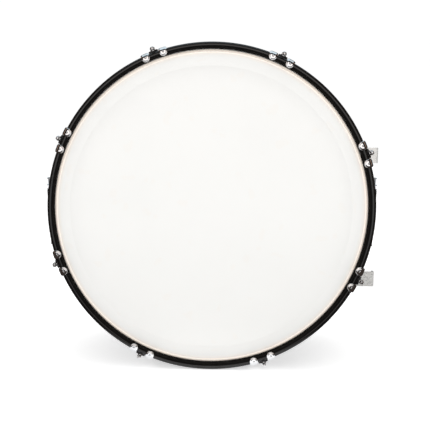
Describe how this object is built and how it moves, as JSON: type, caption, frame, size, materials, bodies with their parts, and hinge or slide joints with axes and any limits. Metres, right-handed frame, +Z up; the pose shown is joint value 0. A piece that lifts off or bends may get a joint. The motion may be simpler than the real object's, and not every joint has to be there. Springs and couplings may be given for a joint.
{
  "type": "bass drum",
  "caption": "Wide shallow bass drum: two white heads under black wooden hoops, clawed down by chrome key rods, with side handles and carrier brackets.",
  "frame": {"origin": "on the floor under the middle of the drum, where it stands on its two hoops", "axes": "+Y along the drum's axis from the front head to the rear head; +X towards the side with the carrier brackets; +Z up"},
  "size_m": [0.7756, 0.347, 0.693],
  "materials": {
    "shell_lacquer": "gloss black lacquer over ply, bare ply inside",
    "hoop_lacquer": "gloss black lacquer over ply",
    "head_film": "smooth white polyester film, slightly glossy",
    "flesh_hoop_metal": "satin",
    "hardware_chrome": "polished chrome plate",
    "claw_black": "black powder coat on the yoke, chrome on the toes",
    "bracket_zinc": "bright zinc plate, satin",
    "fastener_steel": "zinc plated",
    "nut_brass": "turned brass",
    "gasket_rubber": "matt black",
    "grip_black": "matt black, moulded"
  },
  "bodies": {
    "drum": {"shell": "shell_lacquer", "drumhead_front": "head_film", "drumhead_rear": "head_film", "flesh_hoop_front": "flesh_hoop_metal", "flesh_hoop_rear": "flesh_hoop_metal", "hoop_front": "hoop_lacquer", "hoop_rear": "hoop_lacquer", "lug_casings": "hardware_chrome", "lug_gaskets": "gasket_rubber", "swivel_nuts": "nut_brass", "lug_screws": "fastener_steel", "lug_washers": "fastener_steel", "handle_posts_right": "hardware_chrome", "handle_posts_left": "hardware_chrome", "handle_grip_right": "grip_black", "handle_grip_left": "grip_black", "grip_rivets_right": "hardware_chrome", "grip_rivets_left": "hardware_chrome", "handle_screws": "hardware_chrome", "carrier_bracket_upper": "bracket_zinc", "carrier_bracket_lower": "bracket_zinc", "bracket_screws": "fastener_steel", "shell_nuts": "fastener_steel", "shell_washers": "fastener_steel", "vent_grommet": "hardware_chrome"},
    "claw_front_1": {"claw_front_1": "claw_black"},
    "key_rod_front_1": {"key_rod_front_1": "hardware_chrome"},
    "claw_front_2": {"claw_front_2": "claw_black"},
    "key_rod_front_2": {"key_rod_front_2": "hardware_chrome"},
    "claw_front_3": {"claw_front_3": "claw_black"},
    "key_rod_front_3": {"key_rod_front_3": "hardware_chrome"},
    "claw_front_4": {"claw_front_4": "claw_black"},
    "key_rod_front_4": {"key_rod_front_4": "hardware_chrome"},
    "claw_front_5": {"claw_front_5": "claw_black"},
    "key_rod_front_5": {"key_rod_front_5": "hardware_chrome"},
    "claw_front_6": {"claw_front_6": "claw_black"},
    "key_rod_front_6": {"key_rod_front_6": "hardware_chrome"},
    "claw_front_7": {"claw_front_7": "claw_black"},
    "key_rod_front_7": {"key_rod_front_7": "hardware_chrome"},
    "claw_front_8": {"claw_front_8": "claw_black"},
    "key_rod_front_8": {"key_rod_front_8": "hardware_chrome"},
    "claw_rear_1": {"claw_rear_1": "claw_black"},
    "key_rod_rear_1": {"key_rod_rear_1": "hardware_chrome"},
    "claw_rear_2": {"claw_rear_2": "claw_black"},
    "key_rod_rear_2": {"key_rod_rear_2": "hardware_chrome"},
    "claw_rear_3": {"claw_rear_3": "claw_black"},
    "key_rod_rear_3": {"key_rod_rear_3": "hardware_chrome"},
    "claw_rear_4": {"claw_rear_4": "claw_black"},
    "key_rod_rear_4": {"key_rod_rear_4": "hardware_chrome"},
    "claw_rear_5": {"claw_rear_5": "claw_black"},
    "key_rod_rear_5": {"key_rod_rear_5": "hardware_chrome"},
    "claw_rear_6": {"claw_rear_6": "claw_black"},
    "key_rod_rear_6": {"key_rod_rear_6": "hardware_chrome"},
    "claw_rear_7": {"claw_rear_7": "claw_black"},
    "key_rod_rear_7": {"key_rod_rear_7": "hardware_chrome"},
    "claw_rear_8": {"claw_rear_8": "claw_black"},
    "key_rod_rear_8": {"key_rod_rear_8": "hardware_chrome"}
  },
  "joints": [
    {"name": "claw_slide_front_1", "type": "slide", "parent": "drum", "child": "claw_front_1", "axis": [0, -1, 0], "range_m": [0, 0.01]},
    {"name": "rod_turn_front_1", "type": "hinge", "parent": "claw_front_1", "child": "key_rod_front_1", "pos_m": [0.33213, 0, 0.46607], "axis": [0, -1, 0], "range_deg": [0, 3600]},
    {"name": "claw_slide_front_2", "type": "slide", "parent": "drum", "child": "claw_front_2", "axis": [0, -1, 0], "range_m": [0, 0.01]},
    {"name": "rod_turn_front_2", "type": "hinge", "parent": "claw_front_2", "child": "key_rod_front_2", "pos_m": [0.1503, 0, 0.6659], "axis": [0, -1, 0], "range_deg": [0, 3600]},
    {"name": "claw_slide_front_3", "type": "slide", "parent": "drum", "child": "claw_front_3", "axis": [0, -1, 0], "range_m": [0, 0.01]},
    {"name": "rod_turn_front_3", "type": "hinge", "parent": "claw_front_3", "child": "key_rod_front_3", "pos_m": [-0.11957, 0, 0.67863], "axis": [0, -1, 0], "range_deg": [0, 3600]},
    {"name": "claw_slide_front_4", "type": "slide", "parent": "drum", "child": "claw_front_4", "axis": [0, -1, 0], "range_m": [0, 0.01]},
    {"name": "rod_turn_front_4", "type": "hinge", "parent": "claw_front_4", "child": "key_rod_front_4", "pos_m": [-0.3194, 0, 0.4968], "axis": [0, -1, 0], "range_deg": [0, 3600]},
    {"name": "claw_slide_front_5", "type": "slide", "parent": "drum", "child": "claw_front_5", "axis": [0, -1, 0], "range_m": [0, 0.01]},
    {"name": "rod_turn_front_5", "type": "hinge", "parent": "claw_front_5", "child": "key_rod_front_5", "pos_m": [-0.33213, 0, 0.22693], "axis": [0, -1, 0], "range_deg": [0, 3600]},
    {"name": "claw_slide_front_6", "type": "slide", "parent": "drum", "child": "claw_front_6", "axis": [0, -1, 0], "range_m": [0, 0.01]},
    {"name": "rod_turn_front_6", "type": "hinge", "parent": "claw_front_6", "child": "key_rod_front_6", "pos_m": [-0.1503, 0, 0.0271], "axis": [0, -1, 0], "range_deg": [0, 3600]},
    {"name": "claw_slide_front_7", "type": "slide", "parent": "drum", "child": "claw_front_7", "axis": [0, -1, 0], "range_m": [0, 0.01]},
    {"name": "rod_turn_front_7", "type": "hinge", "parent": "claw_front_7", "child": "key_rod_front_7", "pos_m": [0.11957, 0, 0.01437], "axis": [0, -1, 0], "range_deg": [0, 3600]},
    {"name": "claw_slide_front_8", "type": "slide", "parent": "drum", "child": "claw_front_8", "axis": [0, -1, 0], "range_m": [0, 0.01]},
    {"name": "rod_turn_front_8", "type": "hinge", "parent": "claw_front_8", "child": "key_rod_front_8", "pos_m": [0.3194, 0, 0.1962], "axis": [0, -1, 0], "range_deg": [0, 3600]},
    {"name": "claw_slide_rear_1", "type": "slide", "parent": "drum", "child": "claw_rear_1", "axis": [0, 1, 0], "range_m": [0, 0.01]},
    {"name": "rod_turn_rear_1", "type": "hinge", "parent": "claw_rear_1", "child": "key_rod_rear_1", "pos_m": [0.33213, 0, 0.46607], "axis": [0, 1, 0], "range_deg": [0, 3600]},
    {"name": "claw_slide_rear_2", "type": "slide", "parent": "drum", "child": "claw_rear_2", "axis": [0, 1, 0], "range_m": [0, 0.01]},
    {"name": "rod_turn_rear_2", "type": "hinge", "parent": "claw_rear_2", "child": "key_rod_rear_2", "pos_m": [0.1503, 0, 0.6659], "axis": [0, 1, 0], "range_deg": [0, 3600]},
    {"name": "claw_slide_rear_3", "type": "slide", "parent": "drum", "child": "claw_rear_3", "axis": [0, 1, 0], "range_m": [0, 0.01]},
    {"name": "rod_turn_rear_3", "type": "hinge", "parent": "claw_rear_3", "child": "key_rod_rear_3", "pos_m": [-0.11957, 0, 0.67863], "axis": [0, 1, 0], "range_deg": [0, 3600]},
    {"name": "claw_slide_rear_4", "type": "slide", "parent": "drum", "child": "claw_rear_4", "axis": [0, 1, 0], "range_m": [0, 0.01]},
    {"name": "rod_turn_rear_4", "type": "hinge", "parent": "claw_rear_4", "child": "key_rod_rear_4", "pos_m": [-0.3194, 0, 0.4968], "axis": [0, 1, 0], "range_deg": [0, 3600]},
    {"name": "claw_slide_rear_5", "type": "slide", "parent": "drum", "child": "claw_rear_5", "axis": [0, 1, 0], "range_m": [0, 0.01]},
    {"name": "rod_turn_rear_5", "type": "hinge", "parent": "claw_rear_5", "child": "key_rod_rear_5", "pos_m": [-0.33213, 0, 0.22693], "axis": [0, 1, 0], "range_deg": [0, 3600]},
    {"name": "claw_slide_rear_6", "type": "slide", "parent": "drum", "child": "claw_rear_6", "axis": [0, 1, 0], "range_m": [0, 0.01]},
    {"name": "rod_turn_rear_6", "type": "hinge", "parent": "claw_rear_6", "child": "key_rod_rear_6", "pos_m": [-0.1503, 0, 0.0271], "axis": [0, 1, 0], "range_deg": [0, 3600]},
    {"name": "claw_slide_rear_7", "type": "slide", "parent": "drum", "child": "claw_rear_7", "axis": [0, 1, 0], "range_m": [0, 0.01]},
    {"name": "rod_turn_rear_7", "type": "hinge", "parent": "claw_rear_7", "child": "key_rod_rear_7", "pos_m": [0.11957, 0, 0.01437], "axis": [0, 1, 0], "range_deg": [0, 3600]},
    {"name": "claw_slide_rear_8", "type": "slide", "parent": "drum", "child": "claw_rear_8", "axis": [0, 1, 0], "range_m": [0, 0.01]},
    {"name": "rod_turn_rear_8", "type": "hinge", "parent": "claw_rear_8", "child": "key_rod_rear_8", "pos_m": [0.3194, 0, 0.1962], "axis": [0, 1, 0], "range_deg": [0, 3600]}
  ],
  "couplings": [
    {"joint": "rod_turn_front_1", "follows": "claw_slide_front_1", "rad_per_m": 6283.2},
    {"joint": "rod_turn_front_2", "follows": "claw_slide_front_2", "rad_per_m": 6283.2},
    {"joint": "rod_turn_front_3", "follows": "claw_slide_front_3", "rad_per_m": 6283.2},
    {"joint": "rod_turn_front_4", "follows": "claw_slide_front_4", "rad_per_m": 6283.2},
    {"joint": "rod_turn_front_5", "follows": "claw_slide_front_5", "rad_per_m": 6283.2},
    {"joint": "rod_turn_front_6", "follows": "claw_slide_front_6", "rad_per_m": 6283.2},
    {"joint": "rod_turn_front_7", "follows": "claw_slide_front_7", "rad_per_m": 6283.2},
    {"joint": "rod_turn_front_8", "follows": "claw_slide_front_8", "rad_per_m": 6283.2},
    {"joint": "rod_turn_rear_1", "follows": "claw_slide_rear_1", "rad_per_m": 6283.2},
    {"joint": "rod_turn_rear_2", "follows": "claw_slide_rear_2", "rad_per_m": 6283.2},
    {"joint": "rod_turn_rear_3", "follows": "claw_slide_rear_3", "rad_per_m": 6283.2},
    {"joint": "rod_turn_rear_4", "follows": "claw_slide_rear_4", "rad_per_m": 6283.2},
    {"joint": "rod_turn_rear_5", "follows": "claw_slide_rear_5", "rad_per_m": 6283.2},
    {"joint": "rod_turn_rear_6", "follows": "claw_slide_rear_6", "rad_per_m": 6283.2},
    {"joint": "rod_turn_rear_7", "follows": "claw_slide_rear_7", "rad_per_m": 6283.2},
    {"joint": "rod_turn_rear_8", "follows": "claw_slide_rear_8", "rad_per_m": 6283.2}
  ]
}
